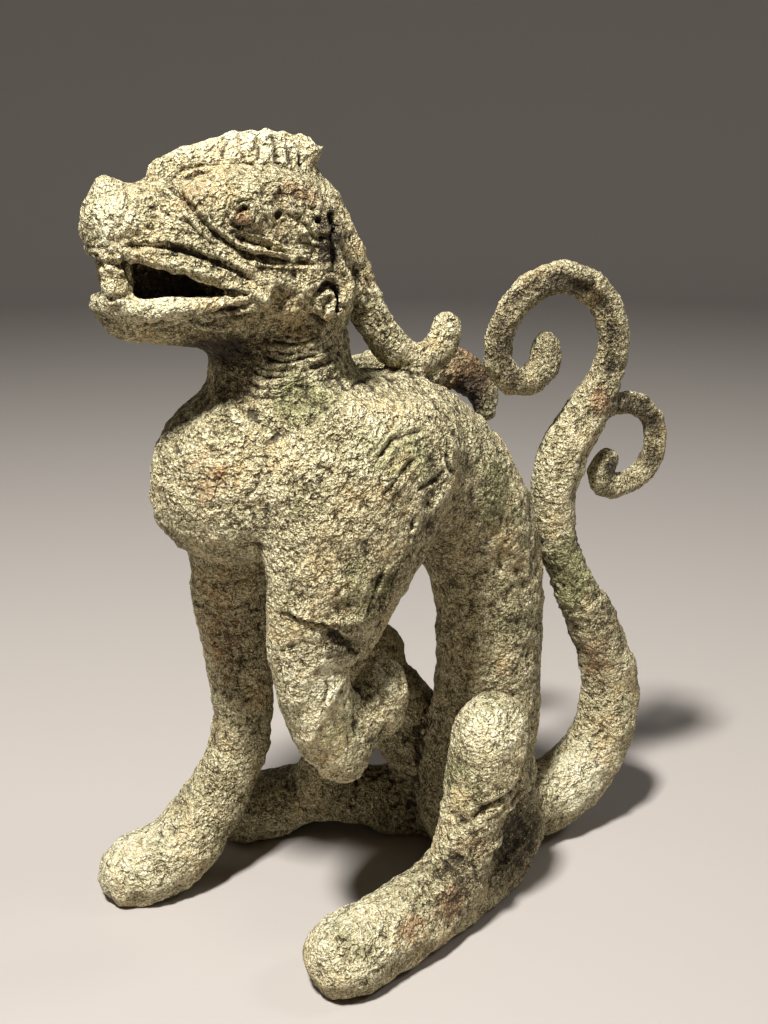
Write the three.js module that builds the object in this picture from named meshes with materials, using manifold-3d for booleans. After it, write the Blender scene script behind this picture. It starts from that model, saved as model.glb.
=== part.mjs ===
// A seated dragon, cast in bronze as one piece, with its head raised and its tail in two scrolls.
// Millimetres. +Z is up, the dragon faces -Y, and its own left side is towards +X.
// The origin is on the ground, at the middle of the figure's bounding box.
import * as THREE from "three";
import { mergeVertices } from "three/addons/utils/BufferGeometryUtils.js";
import Module from "manifold-3d";

const wasm = await Module();
wasm.setup();

// Driving dimensions
const HEIGHT = 299; // ground to the top of the crest
const CREST_TOP = HEIGHT;
const SHOULDER_TOP = 216; // top of the back, between the shoulder blades
const COLUMN_Y = 38; // middle of the upright trunk
const COLUMN_HALF = 23; // half the trunk's depth, front to back
const LEG_X = 33; // from the middle plane to the middle of each foreleg
const TOE_X = 56; // from the middle plane to the middle of each hind toe
const SOLE = 0; // ground level
const TAIL_Y = 66; // middle of the tail where it leans on the back

const ACROSS = new THREE.Vector3(1, 0, 0);
const CAP_ROWS = 2; // rows of faces in a rounded end
const degrees = THREE.MathUtils.degToRad;

// One closed body with rounded ends, along a smooth line through its stations.
// A station is [x, y, z, half-width across, half-depth], and the depth is square to the line.
function sweep(stations, { sides = 12, steps = 2, across = ACROSS, cap = 1 } = {}) {
  const line = new THREE.CatmullRomCurve3(
    stations.map(([x, y, z]) => new THREE.Vector3(x, y, z)),
  );
  const girth = new THREE.CatmullRomCurve3(
    stations.map(([, , , wide, deep = wide]) => new THREE.Vector3(wide, deep, 0)),
  );
  const rows = (stations.length - 1) * steps + 2 * CAP_ROWS;
  const geometry = new THREE.SphereGeometry(1, sides, rows);
  const position = geometry.getAttribute("position");
  for (let row = 0; row <= rows; row++) {
    const along = THREE.MathUtils.clamp((row - CAP_ROWS) / (rows - 2 * CAP_ROWS), 0, 1);
    const middle = line.getPoint(along);
    const tangent = line.getTangent(along);
    const depth = tangent.clone().cross(across).normalize();
    const width = depth.clone().cross(tangent).normalize();
    const size = girth.getPoint(along);
    const fromEnd = Math.min(row, rows - row) / CAP_ROWS;
    const swing = (Math.min(fromEnd, 1) * Math.PI) / 2;
    const outward = row < rows / 2 ? -1 : 1;
    middle.addScaledVector(tangent, outward * Math.cos(swing) * cap * Math.min(size.x, size.y));
    for (let side = 0; side <= sides; side++) {
      const turn = ((side % sides) / sides) * 2 * Math.PI;
      const point = middle
        .clone()
        .addScaledVector(width, -Math.cos(turn) * Math.sin(swing) * size.x)
        .addScaledVector(depth, Math.sin(turn) * Math.sin(swing) * size.y);
      position.setXYZ(row * (sides + 1) + side, point.x, point.y, point.z);
    }
  }
  return solid(geometry);
}

// An egg: an ellipsoid with three radii, turned about X by a tilt in degrees.
function egg([x, y, z], [rx, ry, rz], tilt = 0, sides = 12, rows = 8) {
  const geometry = new THREE.SphereGeometry(1, sides, rows).scale(rx, ry, rz);
  return solid(geometry.rotateX(degrees(tilt)).translate(x, y, z));
}

// Stations along a chain of circular arcs in the middle plane. Each arc is
// { middle: [y, z], radius: [at its start, at its end], from, to, half: [start, end], count }.
function scroll(arcs, x = 0, flat = 0.9) {
  return arcs.flatMap(({ middle, radius, from, to, half, count }) =>
    Array.from({ length: count }, (_, i) => {
      const share = i / (count - 1 || 1);
      const angle = degrees(THREE.MathUtils.lerp(from, to, share));
      const r = THREE.MathUtils.lerp(...radius, share);
      const thick = THREE.MathUtils.lerp(...half, share);
      const y = middle[0] + r * Math.cos(angle);
      const z = middle[1] + r * Math.sin(angle);
      return [x, y, z, thick * flat, thick];
    }),
  );
}

function solid(geometry) {
  geometry.deleteAttribute("normal");
  geometry.deleteAttribute("uv");
  const merged = mergeVertices(geometry, 1e-3);
  return new wasm.Manifold(
    new wasm.Mesh({
      numProp: 3,
      vertProperties: new Float32Array(merged.attributes.position.array),
      triVerts: new Uint32Array(merged.index.array),
    }),
  );
}

const fuse = (parts) => parts.flat(Infinity).reduce((whole, part) => whole.add(part));

// The same part on the dragon's left and right, from a maker that takes the side: 1 or -1.
const bothSides = (make) => [1, -1].map(make);

// Chest, the bent back and the upright trunk down to the rump.
function trunk() {
  const top = SHOULDER_TOP;
  const y = COLUMN_Y;
  const deep = COLUMN_HALF;
  const body = sweep(
    [
      [0, -58, top - 38, 35, 29],
      [0, -36, top - 35, 39, 32],
      [0, -10, top - 35, 37, 33],
      [0, 12, top - 45, 30, 29],
      [0, y - 9, top - 66, 25, 25],
      [0, y - 2, top - 90, 22, deep],
      [0, y, top - 116, 21.5, deep - 1],
      [0, y - 1, 70, 22, deep],
      [0, y - 6, 24, 24, deep + 2],
    ],
    { sides: 14 },
  );
  const chest = sweep(
    [
      [0, -62, 206, 24, 16],
      [0, -67, 190, 30, 28],
      [0, -69, 176, 32, 31],
      [0, -63, 165, 29, 25],
    ],
    { sides: 12, cap: 0.5 },
  );
  return [body, chest];
}

function neck() {
  return sweep(
    [
      [0, -47, 252, 22, 22],
      [0, -50, 232, 19, 25],
      [0, -50, 215, 22, 26],
      [0, -47, 198, 33, 32],
      [0, -44, 184, 40, 37],
    ],
    { sides: 10 },
  );
}

// Skull and snout in one, then what stands out from them.
function head() {
  const skull = sweep(
    [
      [0, -105, 270, 12, 12],
      [0, -92, 269, 17, 13],
      [0, -74, 266, 22, 17],
      [0, -54, 262, 24, 22],
      [0, -44, 257, 22, 20],
    ],
    { sides: 10, cap: 0.7 },
  );
  const nose = [
    egg([0, -107.5, 276.5], [7.5, 6.5, 8], 0, 8, 6),
    egg([0, -110, 268], [11, 6, 11], 0, 8, 6),
    bothSides((side) => egg([side * 11, -104, 269], [8, 8.5, 9], 0, 8, 6)),
  ];
  const brows = bothSides((side) => [
    egg([side * 13, -66, 272], [14, 31, 14.5], 6, 10, 8),
    egg([side * 18.5, -47, 267], [8.5, 13, 13], 10, 8, 5),
  ]);
  const cheeks = bothSides((side) => egg([side * 15, -53, 251], [12, 21, 19], -12, 8, 6));
  return [skull, nose, brows, cheeks, jaws(), crest(), bothSides(eye), bothSides(jawScroll)];
}

// The open mouth: two lips, the lower jaw, the front teeth and the tongue between them.
function jaws() {
  const lower = sweep(
    [
      [0, -105, 239, 12, 8],
      [0, -88, 237, 17, 9],
      [0, -60, 238, 22, 14],
    ],
    { sides: 8 },
  );
  const lip = (corner, half, outline) => {
    const right = outline.map(([x, y, z]) => [-x, y, z, half, half]);
    const left = outline.map(([x, y, z]) => [x, y, z, half, half]).reverse();
    const across = new THREE.Vector3(0, 0, 1);
    const ends = [-1, 1].map((side) => [side * 26, -66, corner, 2.8, 2.8]);
    return sweep([ends[0], ...right, ...left, ends[1]], { sides: 6, across });
  };
  const upperLip = lip(246, 3.4, [
    [24, -80, 253],
    [20, -95, 258.5],
    [9, -111, 261],
  ]);
  const lowerLip = lip(244, 3.8, [
    [23, -80, 243],
    [19, -95, 243],
    [9, -110, 242.5],
  ]);
  const teeth = bothSides((side) =>
    sweep(
      [
        [side * 10, -107 - 2 * side, 259, 5, 5],
        [side * 10, -106 - 2 * side, 244, 5.5, 5.5],
      ],
      { sides: 6, steps: 1, cap: 0.2 },
    ),
  );
  const incisors = egg([0, -105, 251], [9, 4, 10], 0, 6, 4);
  const tongue = sweep(
    [
      [0, -98, 250, 5, 7],
      [0, -68, 250, 14, 9],
    ],
    { sides: 8, steps: 1 },
  );
  return [lower, upperLip, lowerLip, teeth, incisors, tongue];
}

// The crest: a smooth swelling over the brow, then a row of flutes that ends in a point.
function crest() {
  const FLUTES = 5;
  const swell = [
    [0, -91.5, 283, 5, 5],
    [0, -82, 285.5, 6, 7.2],
    [0, -72, 286.6, 6.3, 9.2],
  ];
  const fan = Array.from({ length: 2 * FLUTES + 1 }, (_, i) => {
    const share = i / (2 * FLUTES);
    const y = THREE.MathUtils.lerp(-67, -41.5, share);
    const inValley = (i + 1) % 2;
    const deep = THREE.MathUtils.lerp(10.5, 13, share);
    const top = CREST_TOP - 1.2 * inValley - 6 * (share - 0.45) ** 2;
    return [0, y, top - deep, 7.2 - 1.3 * inValley, deep];
  });
  const ridge = sweep([...swell, ...fan], { sides: 8, steps: 1, cap: 0.4 });
  const point = sweep(
    [
      [0, -44, 287, 5, 7],
      [0, -37, 290.5, 3, 3.5],
      [0, -32.5, 292.6, 1, 1],
    ],
    { sides: 8, steps: 1 },
  );
  return [ridge, point];
}

// An almond eye under the brow, with the two folds that run from the nose below it.
function eye(side) {
  const ball = egg([side * 23.5, -71, 270.5], [3.4, 6.4, 3.8], 14, 8, 6);
  const across = new THREE.Vector3(0, 0, 1);
  const folds = [
    [
      [side * 20, -84, 270, 2.4, 2.4],
      [side * 24.5, -67, 260.5, 2.8, 2.8],
      [side * 25.5, -47, 256, 2, 2],
    ],
    [
      [side * 18, -97, 266, 2.6, 2.6],
      [side * 22.5, -80, 260.5, 3, 3],
      [side * 26, -62, 250, 2.4, 2.4],
    ],
  ].map((stations) => sweep(stations, { sides: 6, across }));
  return [ball, folds];
}

// The scroll at the corner of the jaw, where an ear would sit.
function jawScroll(side) {
  return sweep(
    scroll(
      [
        { middle: [-42, 247], radius: [9, 8], from: 190, to: -20, half: [2, 2.8], count: 7 },
        { middle: [-41, 245], radius: [7, 3], from: -60, to: -240, half: [2.8, 2.2], count: 4 },
      ],
      side * 24.5,
      1.2,
    ),
    { sides: 6, steps: 1 },
  );
}

// The mane leaves the back of the head as one thick lock, crosses to the shoulders and hooks up.
function mane() {
  return sweep(
    [
      [0, -37, 277, 8, 8],
      [0, -30, 266, 7.5, 8],
      [0, -23, 252, 7, 7.5],
      [0, -17, 238, 6.5, 7],
      [0, -11, 227, 7, 7],
      [0, -3, 219, 7.5, 7],
      [0, 6, 216.5, 7, 6.5],
      [0, 13, 219.5, 6, 6],
      [0, 15.5, 227.5, 6.3, 6.3],
    ],
    { sides: 8 },
  );
}

// The lock that flies back from the right shoulder, and the rim of the one on the left.
function shoulderLocks() {
  const flying = sweep(
    [
      [-34, -24, 194, 9, 15],
      [-39, 0, 201, 7.5, 13.5],
      [-40, 24, 205, 6.5, 11.5],
      [-40, 42, 204, 6, 10],
      [-39, 54, 194, 5.5, 8],
      [-38, 55, 185, 5, 6],
    ],
    { sides: 8 },
  );
  const rim = sweep(
    [
      [28, -12, 206, 4, 5],
      [34, -3, 190, 5, 6],
      [35, -8, 167, 5, 6],
      [36, -23, 141, 4.5, 5],
      [36, -35, 121, 4, 4.5],
    ],
    { sides: 6 },
  );
  return [flying, rim];
}

// The right foreleg stands, and its foot points forward.
function standingForeleg() {
  return sweep(
    [
      [-23, -32, 202, 15, 26],
      [-28, -38, 182, 20, 35],
      [-29, -50, 160, 18, 28],
      [-LEG_X + 3, -61, 136, 15, 18.5],
      [-LEG_X, -60, 108, 13.5, 15.5],
      [-LEG_X, -58, 80, 12.5, 13],
      [-LEG_X, -60, 58, 12.5, 12.5],
      [-LEG_X, -71, 36, 13.5, 13.5],
      [-LEG_X + 2, -90, 15, 17, 15],
      [-LEG_X + 1, -107, 10, 16, 15],
    ],
    { sides: 10 },
  );
}

// The left foreleg is lifted. It ends above the ground in a worn paw with a lobe behind it.
function liftedForeleg() {
  const upper = sweep(
    [
      [23, -30, 202, 15, 26],
      [29, -35, 184, 20, 35],
      [32, -40, 164, 18.5, 31],
      [35, -46, 146, 15.5, 25],
      [36, -48, 131, 13, 19],
      [36, -44, 122, 10, 12],
    ],
    { sides: 12, cap: 0.5 },
  );
  const lower = sweep(
    [
      [34, -55, 138, 12.5, 16],
      [35, -55, 112, 12.5, 13.5],
      [35, -48, 94, 12, 14.5],
      [34, -42, 79, 10.5, 11],
    ],
    { sides: 10, cap: 0.9 },
  );
  const lobe = egg([31, -27, 97], [11, 11.5, 18], -14, 8, 6);
  const scoop = egg([47, -40, 96], [5, 10, 18], -22, 8, 6);
  return [upper, fuse([lower, lobe]).subtract(scoop)];
}

// A hind leg: haunch, shin from the knee down, and a long foot turned out, from the hock to the toe.
function hindLeg({ side, knee, toe }) {
  const [kneeX, kneeY, kneeZ] = knee;
  const haunch = sweep(
    [
      [side * 17, 36, 16, 17, 22],
      [side * 24, 27, 32, 13, 20],
      [side * (kneeX - 4), kneeY + 6, kneeZ - 20, 14, 17],
    ],
    { sides: 8 },
  );
  const shin = sweep(
    [
      [side * kneeX, kneeY, kneeZ, 14, 15.5],
      [side * (kneeX + 1), kneeY - 4, kneeZ - 20, 14.5, 16.5],
      [side * (kneeX + 5), kneeY - 13, kneeZ - 40, 11, 13],
      [side * (kneeX + 9), kneeY - 21, 22, 11.5, 13],
    ],
    { sides: 10 },
  );
  const foot = sweep(
    [
      [side * 22, 34, 12, 13, 17],
      [side * 36, 6, 13, 13.5, 17],
      [side * (toe - 8), -17, 14, 14.5, 17],
      [side * (toe - 3), -33, 12.5, 15, 15.5],
      [side * (toe + 1), -52, 11, 17, 15],
    ],
    { sides: 10 },
  );
  return [haunch, shin, foot];
}

// The tail: out along the ground, up against the back, then a large scroll and a small one.
function tail() {
  const y = TAIL_Y;
  const rise = [
    [0, 48, 18, 18, 18],
    [0, 72, 19, 15, 17],
    [0, 89, 30, 14, 16],
    [0, 99, 49, 13, 14.5],
    [0, 99, 72, 12, 13],
    [0, 89, 96, 11, 11.5],
    [0, y + 10, 120, 9.5, 9],
    [0, y + 2, 140, 9.5, 8.5],
    [0, y, 158, 10, 10],
    [0, y + 5, 176, 10, 11],
    [0, y + 17, 193, 8.5, 9],
  ];
  const large = scroll([
    { middle: [65, 217.5], radius: [26.5, 26.8], from: -24, to: 165, half: [7.2, 6.4], count: 8 },
    { middle: [51, 215.5], radius: [13, 9], from: 190, to: 385, half: [6.1, 6.4], count: 5 },
  ]);
  const small = scroll([
    { middle: [98, 174.5], radius: [18, 17.5], from: 116, to: -85, half: [4.8, 5.8], count: 7 },
    { middle: [96, 164.5], radius: [8.5, 6.5], from: -120, to: -225, half: [5.9, 5.6], count: 3 },
  ]);
  return [
    sweep([...rise, ...large], { sides: 8 }),
    sweep([[0, 82, 188, 5, 5.2], ...small], { sides: 8 }),
  ];
}

// What lies below the ground is cut away, which leaves flat soles, and the right hind foot is arched.
function groundCut() {
  const slab = new THREE.BoxGeometry(400, 400, 60);
  const arch = egg([-TOE_X + 8, -14, SOLE], [28, 25, 8], 0, 10, 6);
  return solid(slab.translate(0, 0, SOLE - 30)).add(arch);
}

function bronzeMesh(whole) {
  const { numProp, vertProperties, triVerts } = whole.getMesh();
  if (numProp !== 3) throw new Error("only positions are expected");
  const geometry = new THREE.BufferGeometry();
  geometry.setAttribute("position", new THREE.BufferAttribute(vertProperties, 3));
  geometry.setIndex(new THREE.BufferAttribute(triVerts, 1));
  geometry.computeBoundingBox();
  const { min, max } = geometry.boundingBox;
  geometry.translate(-(min.x + max.x) / 2, -(min.y + max.y) / 2, -min.z);
  geometry.computeVertexNormals();
  const patina = new THREE.MeshStandardMaterial({
    color: 0xb2ab86,
    roughness: 0.9,
    metalness: 0.1,
  });
  const mesh = new THREE.Mesh(geometry, patina);
  mesh.name = "dragon";
  return mesh;
}

const figure = fuse([
  trunk(),
  neck(),
  head(),
  mane(),
  shoulderLocks(),
  standingForeleg(),
  liftedForeleg(),
  hindLeg({ side: 1, knee: [35, 20, 79], toe: TOE_X - 2 }),
  hindLeg({ side: -1, knee: [34, 0, 87], toe: TOE_X + 1 }),
  tail(),
]);

const dragon = new THREE.Group();
dragon.add(bronzeMesh(figure.subtract(groundCut())));

export default dragon;
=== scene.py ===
"""A seated dragon of cast bronze under a thick corrosion crust, worked up over its frame.

The cast starts from a merged copy of the frame's solid. It becomes clay with an even grain, its joints
are filled, its carving is cut with strokes, the crust is laid on, and the skin is thinned again.
Places are in metres in the frame, or in millimetres where a list says so.
"""
import math

import bmesh
import bpy
import numpy as np
from bpy.props import FloatProperty, FloatVectorProperty, IntProperty, PointerProperty
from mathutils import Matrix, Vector, noise
from mathutils.bvhtree import BVHTree


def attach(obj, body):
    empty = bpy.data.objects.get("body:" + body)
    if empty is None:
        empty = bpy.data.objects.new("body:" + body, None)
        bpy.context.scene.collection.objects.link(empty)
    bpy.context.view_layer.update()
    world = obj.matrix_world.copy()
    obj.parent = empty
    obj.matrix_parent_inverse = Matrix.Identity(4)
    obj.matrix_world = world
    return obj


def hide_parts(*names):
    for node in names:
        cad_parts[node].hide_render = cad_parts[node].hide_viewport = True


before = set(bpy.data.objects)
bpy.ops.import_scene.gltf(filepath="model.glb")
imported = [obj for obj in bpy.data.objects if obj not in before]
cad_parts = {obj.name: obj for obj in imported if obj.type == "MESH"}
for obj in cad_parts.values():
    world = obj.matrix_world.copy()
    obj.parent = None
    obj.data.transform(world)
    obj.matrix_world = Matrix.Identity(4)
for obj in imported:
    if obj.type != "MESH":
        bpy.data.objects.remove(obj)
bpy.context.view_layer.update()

bl_info = {
    "name": "Seated dragon",
    "version": (1, 0, 0),
    "blender": (4, 5, 0),
    "location": "3D View > Sidebar > Dragon",
    "description": "Models, colours and lights a seated dragon of cast bronze",
    "category": "Object",
}

MM = 0.001
MIDDLE_X = 1.5          # the plane between the figure's left and right sides, in millimetres
LINE_STEP = 0.7         # spacing of the samples along a stroke, in millimetres

# Widths of the crust's noises in millimetres, and how high a pit's noise has to be before it cuts in.
LUMP_WIDTH = 9
CRUMB_WIDTH = 3.2
WARP_WIDTH = 5
GRAVEL_WIDTH = 2.3
PIT_WIDTH = 2.9
PIT_START = 0.68
CRUST_SEED = 1          # without it, the clock sets how the crumbs are pushed about

# Scales of the patina's noises, per metre or as shares of the grit's scale.
CLOUD_SCALE = 48.0
FLECK_SCALE = 230.0
DUST_SHARE = 1.9
CRUMB_SHARE = 0.42
LUMP_SHARE = 0.17
CRUMB_WARP = 0.0022     # how far the crumbs' pattern is pushed about, in metres

# The lights: a name, a place, what it shines at, and its width. Its power is the setting of that name.
LIGHTS = (
    ("key", (0.36, -0.44, 1.25), (0, 0, 0.15), 0.14),
    ("fill", (-0.7, -0.8, 0.9), (0, 0, 0.15), 0.7),
    ("rim", (0.35, 1.0, 1.0), (0, 0, 0.12), 0.25),
)
SKY_COLOUR = (0.95, 0.91, 0.85, 1)
SKY_STRENGTH = 0.035
BEND_STEPS = 12         # faces in the bend of the cove
ROUND_STEPS = 64        # faces around the cove


def linear(code):
    """A colour written as six hexadecimal digits, as the linear values that shaders take."""
    parts = [int(code[i:i + 2], 16) / 255 for i in (0, 2, 4)]
    return tuple(c / 12.92 if c <= 0.04045 else ((c + 0.055) / 1.055) ** 2.4 for c in parts)


def colour_setting(name, description, code):
    """A colour in a group of settings, with its default as six hexadecimal digits."""
    return FloatVectorProperty(name=name, description=description, subtype="COLOR", size=3, min=0, max=1,
                               default=linear(code))


class CastSettings(bpy.types.PropertyGroup):
    """Sizes of the clay, its carving and its crust."""

    coarse_grain: FloatProperty(
        name="Coarse grain", description="Spacing of the clay while joints are filled",
        default=0.0014, min=0.001, max=0.004, unit="LENGTH")
    fine_grain: FloatProperty(
        name="Fine grain", description="Spacing of the clay while the carving is cut",
        default=0.0008, min=0.0006, max=0.003, unit="LENGTH")
    carving: FloatProperty(
        name="Carving", description="How deep the strokes are cut, as a share of their drawn depth",
        default=1.0, min=0.0, max=2.0, subtype="FACTOR")
    lump_height: FloatProperty(
        name="Lump height", description="How far the broad lumps of the crust stand up",
        default=0.0010, min=0.0, max=0.003, unit="LENGTH")
    crumb_height: FloatProperty(
        name="Crumb height", description="How far the crumbs of the crust stand up",
        default=0.00044, min=0.0, max=0.002, unit="LENGTH")
    pit_depth: FloatProperty(
        name="Pit depth", description="How deep the largest corrosion pits go",
        default=0.0006, min=0.0, max=0.003, unit="LENGTH")
    triangles: IntProperty(
        name="Triangles", description="Triangles that the finished cast keeps",
        default=196000, min=20000, max=199000)
    sparing: FloatProperty(
        name="Sparing", description="How much more the head keeps of its grain than the body",
        default=0.0002, min=0.0, max=0.01, precision=6)


class PatinaSettings(bpy.types.PropertyGroup):
    """Colours and grit of the corroded bronze."""

    chalk: colour_setting("Chalk", "The highest crumbs of the crust", "FCF7DC")
    pale: colour_setting("Pale crust", "Cream crust on raised places", "E8DFB9")
    olive: colour_setting("Olive crust", "Most of the crust", "BEB38A")
    umber: colour_setting("Umber crust", "Crust on the way down into pits", "736440")
    # the ramp's darkest stop; the deepest hollows and the shade patches are also blended to it as painted
    # shade
    dark: colour_setting("Bare metal", "Near black metal in pits and folds", "2A1E0D")
    moss: colour_setting("Verdigris", "Tint of the greener places", "B4BF9C")
    ochre: colour_setting("Ochre", "Tint of the earthy clouds", "E3C79C")
    rust: colour_setting("Rust", "Tint of the red brown stains", "C48A62")
    contrast: FloatProperty(
        name="Contrast", description="How much the grit varies from dark to pale", default=0.62,
        min=0, max=8)
    grit_size: FloatProperty(
        name="Grit size", description="Size of the grit", default=0.0009, min=0.0002, max=0.01,
        unit="LENGTH")
    grit_height: FloatProperty(
        name="Grit height", description="Height of the grit", default=0.002, min=0.0, max=0.01,
        unit="LENGTH")


class StageSettings(bpy.types.PropertyGroup):
    """The floor, the lights and the camera."""

    floor: colour_setting("Floor", "Colour of the floor", "A9A199")
    key: FloatProperty(
        name="Key light", description="Power of the main light in watts", default=35.0, min=0)
    fill: FloatProperty(
        name="Fill light", description="Power of the fill light in watts", default=1.0, min=0)
    rim: FloatProperty(
        name="Rim light", description="Power of the light behind the figure in watts", default=3.4,
        min=0)
    floor_radius: FloatProperty(
        name="Floor radius", description="How far the flat floor goes", default=2.0, min=0.3,
        unit="LENGTH")
    cove_radius: FloatProperty(
        name="Cove radius", description="Radius of the bend from the floor to the wall", default=1.0,
        min=0.1, unit="LENGTH")
    cove_height: FloatProperty(
        name="Wall height", description="Height of the wall around the floor", default=2.4, min=0.8,
        unit="LENGTH")
    camera_place: FloatVectorProperty(
        name="Camera place", description="Where the camera stands", size=3, unit="LENGTH",
        default=(0.4005, -0.1958, 0.293))
    camera_heading: FloatProperty(
        name="Camera heading", description="How far the view is turned from +Y towards -X",
        default=math.radians(65.0), subtype="ANGLE")
    camera_dip: FloatProperty(
        name="Camera dip", description="How far the view points down", default=math.radians(16.9),
        subtype="ANGLE")
    camera_lens: FloatProperty(
        name="Focal length", description="Focal length on a sensor 36 mm long", default=42.47,
        min=10, max=200)


def new_object(name, data):
    """An object with the data, linked to the scene."""
    made = bpy.data.objects.new(name, data)
    bpy.context.scene.collection.objects.link(made)
    return made


def merged_copy(source, name):
    """A copy of a frame node's mesh with its loose triangles merged, as a new object."""
    form = bmesh.new()
    form.from_mesh(source.data)
    bmesh.ops.remove_doubles(form, verts=form.verts, dist=1e-6)
    mesh = bpy.data.meshes.new(name)
    form.to_mesh(mesh)
    form.free()
    return new_object(name, mesh)


def apply_modifiers(piece):
    """Bakes the piece's modifiers into its mesh."""
    seen = piece.evaluated_get(bpy.context.evaluated_depsgraph_get())
    mesh = bpy.data.meshes.new_from_object(seen)
    old = piece.data
    piece.modifiers.clear()
    piece.data = mesh
    bpy.data.meshes.remove(old)


def even_skin(piece, grain):
    """Gives the piece an even skin of quads that are grain wide."""
    skin = piece.modifiers.new("Even skin", "REMESH")
    skin.mode = "VOXEL"
    skin.voxel_size = grain
    skin.adaptivity = 0
    apply_modifiers(piece)


def fade(values, start, end):
    """0 before start, 1 after end and smooth between them. end may be the lower one."""
    t = np.clip((values - start) / (end - start), 0, 1)
    return t * t * (3 - 2 * t)


class Clay:
    """The skin of a piece while tools move its vertices. Places are in millimetres."""

    def __init__(self, piece):
        mesh = piece.data
        self.mesh = mesh
        self.count = len(mesh.vertices)
        flat = np.empty(self.count * 3)
        mesh.vertices.foreach_get("co", flat)
        self.places = flat.reshape(-1, 3) / MM
        ends = np.empty(len(mesh.edges) * 2, dtype=np.int64)
        mesh.edges.foreach_get("vertices", ends)
        self.edges = ends.reshape(-1, 2)
        mesh.calc_loop_triangles()
        corners = np.empty(len(mesh.loop_triangles) * 3, dtype=np.int64)
        mesh.loop_triangles.foreach_get("vertices", corners)
        self.corners = corners.reshape(-1, 3)
        self.valence = np.maximum(np.bincount(self.edges.ravel(), minlength=self.count), 1)
        self.normals = self.faces_out()

    def around(self, values):
        """The mean of each vertex's neighbours."""
        a, b = self.edges.T
        total = np.empty_like(values)
        for k in range(values.shape[1]):
            column = np.ascontiguousarray(values[:, k])
            total[:, k] = np.bincount(a, column[b], self.count)
            total[:, k] += np.bincount(b, column[a], self.count)
        return total / self.valence[:, None]

    def faces_out(self):
        """The skin's outward direction at each vertex."""
        a, b, c = (self.places[self.corners[:, k]] for k in range(3))
        face = np.cross(b - a, c - a)
        total = np.zeros_like(self.places)
        for k in range(3):
            for axis in range(3):
                total[:, axis] += np.bincount(self.corners[:, k], face[:, axis], self.count)
        return total / np.maximum(np.linalg.norm(total, axis=1), 1e-9)[:, None]

    def blurred(self, values, rounds):
        """Values that are averaged over the skin."""
        for _ in range(rounds):
            values = 0.5 * values + 0.5 * self.around(values)
        return values

    def soften(self, weight, rounds):
        """Melts facets and edges away, and gives the thickness back that melting takes."""
        melted = self.blurred(self.places, rounds)
        shift = melted - self.places
        shift -= self.blurred(shift, rounds)
        shift -= self.blurred(shift, rounds)
        self.places = self.places + shift * weight[:, None]
        self.normals = self.faces_out()

    def fill(self, weight, rounds):
        """Fills the creases where forms meet, and leaves every rounded place as it is."""
        for step in range(rounds):
            pull = self.around(self.places) - self.places
            lift = np.maximum((pull * self.normals).sum(1), 0) * weight
            self.places = self.places + self.normals * lift[:, None]
            if step % 5 == 4:
                self.normals = self.faces_out()
        self.normals = self.faces_out()

    def raise_by(self, height):
        """Moves each vertex outwards by its height."""
        self.places = self.places + self.normals * height[:, None]

    def find_skin(self):
        """Readies the search for the nearest place on the skin as it is now."""
        self.skin = BVHTree.FromPolygons(self.places.tolist(), self.corners.tolist())

    def on_skin(self, points, side):
        """Drawn points as a smooth line on the skin: its places, outward directions and share along."""
        drawn = np.array(points, dtype=float)
        if side < 0:
            drawn[:, 0] = 2 * MIDDLE_X - drawn[:, 0]
        ends = np.vstack([2 * drawn[0] - drawn[1], drawn, 2 * drawn[-1] - drawn[-2]])
        line = []
        for a, b, c, d in zip(ends, ends[1:], ends[2:], ends[3:]):
            for t in np.arange(0, 1, LINE_STEP / max(np.linalg.norm(c - b), LINE_STEP)):
                line.append(0.5 * (2 * b + (c - a) * t + (2 * a - 5 * b + 4 * c - d) * t * t
                                   + (3 * b - a - 3 * c + d) * t ** 3))
        line.append(drawn[-1])
        found = [self.skin.find_nearest(Vector(place))[:2] for place in line]
        places = np.array([place for place, _ in found])
        outward = np.array([direction for _, direction in found])
        return places, outward, np.linspace(0, 1, len(line))

    def reach(self, line, width):
        """The vertices near a line, with their nearest sample, distance and place beside the line."""
        places, outward, _ = line
        low, high = places.min(0) - width, places.max(0) + width
        near = np.flatnonzero(((self.places > low) & (self.places < high)).all(1))
        offsets = self.places[near, None, :] - places[None, :, :]
        distance = np.linalg.norm(offsets, axis=2)
        sample = distance.argmin(1)
        distance = distance[np.arange(len(near)), sample]
        tangent = np.gradient(places, axis=0)
        tangent /= np.maximum(np.linalg.norm(tangent, axis=1), 1e-9)[:, None]
        right = np.cross(tangent, outward)[sample]
        beside = (offsets[np.arange(len(near)), sample] * right).sum(1)
        facing = np.clip((self.normals[near] * outward[sample]).sum(1) * 2, 0, 1)
        keep = (distance < width) & (facing > 0)
        return near[keep], sample[keep], distance[keep], beside[keep], facing[keep]

    def stroke(self, points, width, height, shape="round", side=1, taper=0.2):
        """Works along a line on the skin. A negative height cuts in. A shelf steps down on the
        line's right, as seen from outside, and a crease is a cut between two raised banks."""
        line = self.on_skin(points, side)
        near, sample, distance, beside, facing = self.reach(line, width)
        t = distance / width
        if shape == "crease":
            form = np.where(t < 0.5, np.maximum(1 - 2 * t, 0) ** 1.3, -0.3 * np.sin(np.pi * (2 * t - 1)))
        elif shape == "shelf":
            form = np.where(beside * side > 0, -1.0, 0.6) * (1 - t) ** 2
        else:
            form = (1 - t * t) ** 2
        along = line[2][sample]
        fading = np.clip(np.minimum(along, 1 - along) / max(taper, 1e-6), 0, 1) if taper else 1.0
        move = form * height * facing * fading ** 0.7
        self.places[near] += self.normals[near] * move[:, None]

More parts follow.
